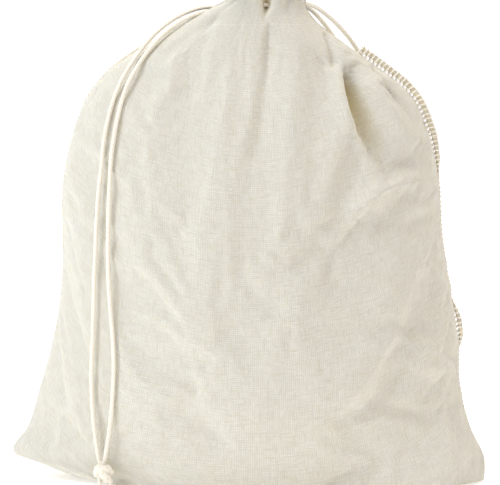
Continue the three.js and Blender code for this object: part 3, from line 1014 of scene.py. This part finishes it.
def makeTail(name, at, turn, offsets, seed):
    # a cut end of the cord, opened a little, with loose fibres at its tip
    route = np.array([(at[0] + turn * x, at[1] + turn * y, at[2] + z) for x, y, z in offsets])
    points, _ = curvePoints(route * mm, 0.5 * mm)
    flare = lambda s: 1 + 0.16 * max(0, (s - 0.75) / 0.25) ** 2
    body = sweepCord("body", points, drawCord["diameter"] / 2, relief=drawCord["relief"] * 1.5, taper=flare)
    rng = np.random.default_rng(seed)
    tip, way = points[-1], points[-1] - points[-4]
    way /= np.linalg.norm(way)
    parts = [body]
    for _ in range(fray["fibres"]):
        spot = rng.normal(0, fray["spread"], 3) * mm
        spot -= way * spot.dot(way)
        bend = rng.normal(0, fray["bend"], 3) * mm
        fibre = np.array([tip + spot * 0.9 - way * 0.3 * mm, tip + spot * 1.1 + way * 0.35 * mm,
                          tip + spot * 1.3 + way * 0.75 * mm + bend])
        fibre[:, 2] = np.maximum(fibre[:, 2], fray["floor"] * mm)
        line, _ = curvePoints(fibre, 0.3 * mm)
        parts.append(sweepCord("fibre", line, fray["thick"] * mm, sides=5, taper=lambda s: 1 - 0.6 * s))
    return joinPieces(name, parts)


knots, cutEnds = {}, {}
for side, seed in (("left", 11), ("right", 23)):
    place = knot[side]
    feet = [strands[f"{side}_cord_{end}_strand"][1][-1] for end in tails]
    knots[side] = makeKnot(side + "_overhand_knot", place["at"], place["turn"], feet)
    for k, (end, offsets) in enumerate(tails.items()):
        name = f"{side}_cord_{end}_cut_end"
        cutEnds[side, end] = makeTail(name, place["at"], place["turn"], offsets, seed + k)
print("knots done")


# Materials

waveTurn = 2 * math.pi / 20  # a straight wave texture of scale 1 repeats at this length
diagonalTurn = 2 * math.pi / 10

muslinLook = {
    "warp": "#EDEADF",
    "slub": "#D1CAB4",
    "gap": "#CDC5AB",
    "fold": "#D6C283",  # painted shade: the colour the deepest folds are tinted towards, standing in for the warm shade where light has come through the cloth
    "spacing": 1.0 * mm,  # the real threads are 0.42 mm apart, too fine to show, so they are drawn coarser
    "wander": 0.55 * mm,
    "slubLength": 6 * mm,
    "slubs": 0.85,
    "gaps": 0.62,
    "fibre": 0.75 * mm,
    "fibres": 0.22,
    "patch": 30 * mm,
    "patches": 0.16,
    "relief": 0.15 * mm,
    "roughness": 0.92,
    "fuzz": 0.15,
    "glow": 0.3,  # thin cloth lets some light through, warmer in the folds
    "glowReach": 4 * mm,
}


def makeMuslin():
    # unbleached cotton muslin, plain woven from uneven yarn: dull, warm and faintly barred by thick threads
    look = muslinLook
    material, tree, shader = makeMaterial("unbleached cotton muslin", {
        "Roughness": look["roughness"],
        "Sheen Weight": look["fuzz"],
        "Sheen Roughness": 0.6,
        "Specular IOR Level": 0.2,
        "Subsurface Weight": look["glow"],
        "Subsurface Radius": (1.0, 0.72, 0.36),
        "Subsurface Scale": look["glowReach"],
    })
    uv = addNode(tree, "UVMap", {"uv_map": "cloth"}).outputs[0]
    unsteady = addNode(tree, "TexNoise", {"Scale": 220.0, "Detail": 2.0}, {"Vector": uv})
    centred = addNode(tree, "VectorMath", {"operation": "SUBTRACT", 1: (0.5, 0.5, 0.5)},
                      {0: unsteady.outputs["Color"]})
    wander = addNode(tree, "VectorMath", {"operation": "MULTIPLY_ADD", 1: [2 * look["wander"]] * 3},
                     {0: centred, 2: uv})
    threads = [addNode(tree, "TexWave", {"bands_direction": way, "Scale": waveTurn / look["spacing"]},
                       {"Vector": wander}) for way in "XY"]
    lattice = addNode(tree, "Math", {"operation": "MULTIPLY"},
                      {0: threads[0].outputs["Fac"], 1: threads[1].outputs["Fac"]})
    slubs = []
    for wide, high in ((look["slubLength"], look["spacing"]), (look["spacing"], look["slubLength"])):
        drawnOut = addNode(tree, "Mapping", {"Scale": (1 / wide, 1 / high, 1)}, {"Vector": uv})
        noise = addNode(tree, "TexNoise", {"Scale": 1.0, "Detail": 1.5}, {"Vector": drawnOut})
        slubs.append(addNode(tree, "MapRange", {"From Min": 0.42, "From Max": 0.8}, {"Value": noise}))
    slub = addNode(tree, "Math", {"operation": "MAXIMUM"}, {0: slubs[0], 1: slubs[1]})
    slubShare = addNode(tree, "Math", {"operation": "MULTIPLY", 1: look["slubs"]}, {0: slub})
    colour = addNode(tree, "Mix", {"data_type": "RGBA", 6: toLinear(look["warp"]), 7: toLinear(look["slub"])},
                     {0: slubShare})
    # darker between the threads: partly the open weave's own gaps, partly painted shade in them; random
    # fibres take the same colour
    gaps = {"From Min": 0.0, "From Max": 0.5, "To Min": look["gaps"], "To Max": 0.0}
    fibres = {"From Min": 0.4, "From Max": 0.7, "To Max": look["fibres"]}
    patches = {"From Min": 0.3, "From Max": 0.7, "To Max": look["patches"]}
    fibreNoise = addNode(tree, "TexNoise", {"Scale": 1 / look["fibre"], "Detail": 2.0}, {"Vector": uv})
    patchNoise = addNode(tree, "TexNoise", {"Scale": 1 / look["patch"], "Detail": 3.0}, {"Vector": uv})
    tints = ((lattice, gaps, "gap"), (fibreNoise, fibres, "gap"), (patchNoise, patches, "slub"))
    for source, spread, tone in tints:
        share = addNode(tree, "MapRange", spread, {"Value": source})
        colour = addNode(tree, "Mix", {"data_type": "RGBA", 7: toLinear(look[tone])},
                         {0: share, 6: colour.outputs[2]})
    # painted shade: the colour is multiplied towards the fold colour in deep folds, on the hem inside and on
    # the seam allowances
    paintedFoldShade = addNode(tree, "Attribute", {"attribute_name": "fold"})
    colour = addNode(tree, "Mix", {"data_type": "RGBA", "blend_type": "MULTIPLY", 7: toLinear(look["fold"])},
                     {0: paintedFoldShade.outputs["Fac"], 6: colour.outputs[2]})
    tree.links.new(colour.outputs[2], shader.inputs["Base Color"])
    height = addNode(tree, "Math", {"operation": "MULTIPLY_ADD", 1: 0.7},
                     {0: slub, 2: lattice})
    bump = addNode(tree, "Bump", {"Distance": look["relief"], "Strength": 0.9}, {"Height": height})
    tree.links.new(bump.outputs[0], shader.inputs["Normal"])
    return material


cordLook = {
    "lit": "#EEEADD",
    # painted shade in the hollows between the strands
    "hollowShade": "#DBD2BB",
    "plaits": 4,
    "pitch": 2.6 * mm,
    "relief": 0.07 * mm,
    "roughness": 0.85,
    "fuzz": 0.3,
}
threadLook = {
    "lit": "#F5F3EC",
    # painted shade in the hollows between the strands
    "hollowShade": "#DDD6C4",
    "plaits": 2,
    "pitch": 0.9 * mm,
    "relief": 0.05 * mm,
    "roughness": 0.7,
    "fuzz": 0.15,
}


def makeYarn(name, look):
    # strands laid round a core: small slanted ridges that catch the light, with painted shade in the darker
    # lines between them
    material, tree, shader = makeMaterial(name, {
        "Roughness": look["roughness"],
        "Sheen Weight": look["fuzz"],
        "Sheen Roughness": 0.5,
        "Specular IOR Level": 0.25,
    })
    uv = addNode(tree, "UVMap", {"uv_map": "cloth"}).outputs[0]
    ridges = []
    for hand in (1, -1):
        lay = (diagonalTurn / look["pitch"], hand * diagonalTurn * look["plaits"], 0)
        laid = addNode(tree, "Mapping", {"Scale": lay}, {"Vector": uv})
        wave = addNode(tree, "TexWave", {"bands_direction": "DIAGONAL", "Scale": 1.0, "Distortion": 0.4},
                       {"Vector": laid})
        ridges.append(wave.outputs["Fac"])
    height = addNode(tree, "Math", {"operation": "MAXIMUM"}, {0: ridges[0], 1: ridges[1]})
    # painted shade: the hollows between the ridges take the darker colour
    share = addNode(tree, "MapRange", {"From Min": 0.1, "From Max": 0.8, "To Min": 0.6, "To Max": 0.0},
                    {"Value": height})
    colour = addNode(tree, "Mix",
                     {"data_type": "RGBA", 6: toLinear(look["lit"]), 7: toLinear(look["hollowShade"])}, {0: share})
    tree.links.new(colour.outputs[2], shader.inputs["Base Color"])
    bump = addNode(tree, "Bump", {"Distance": look["relief"], "Strength": 0.8}, {"Height": height})
    tree.links.new(bump.outputs[0], shader.inputs["Normal"])
    return material


muslin = makeMuslin()
cottonCord = makeYarn("braided cotton cord", cordLook)
sewingThread = makeYarn("spun cotton sewing thread", threadLook)
print("materials done")


# What each piece rides on and stands for

def finishPiece(piece, material, replaced):
    piece.data.materials.append(material)
    if replaced:
        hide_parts(*replaced)


lips = {  # for each lip, where the cloth would start to follow it and where wholly; the points are read below but not used
    "front_lip": ((0, 0, 0.230), (0, -0.00994, 0.24105)),
    "back_lip": ((0, 0, 0.230), (0, 0.00994, 0.24105)),
}
for piece, side in ((frontCloth, "front"), (backCloth, "back")):
    finishPiece(piece, muslin, [side + "_panel", side + "_casing"])
    stitches = casingStitches[-1 if side == "front" else 1]
    finishPiece(stitches, sewingThread, [side + "_casing_stitching"])
    start, end = lips[side + "_lip"]
    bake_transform(piece)
    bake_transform(stitches)

for edge, (allowance, overlock) in seamPieces.items():
    finishPiece(allowance, muslin, [edge + "_side_seam"])
    finishPiece(overlock, sewingThread, [edge + "_overlock_thread"])
    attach(allowance, "root")
    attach(overlock, "root")
finishPiece(bottomSeam[0], muslin, ["bottom_seam"])
finishPiece(bottomSeam[1], sewingThread, [])
for piece in bottomSeam:
    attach(piece, "root")

for node, run in casingRuns.items():
    side = "front" if "front" in node else "back"
    finishPiece(run, cottonCord, [node])
    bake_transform(run)

for hand in ("left", "right"):
    body = hand + "_cord"
    finishPiece(knots[hand], cottonCord, [hand + "_knot"])
    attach(knots[hand], body)
    for end in ("front", "back"):
        cutEnd = cutEnds[hand, end]
        finishPiece(cutEnd, cottonCord, [f"{body}_{end}_tail"])
        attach(cutEnd, body)
    for end in ("front", "back"):
        node = f"{body}_{end}_strand"
        strand, points, length = strands[node]
        finishPiece(strand, cottonCord, [node])
        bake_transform(strand)
print("pieces joined to the bodies")
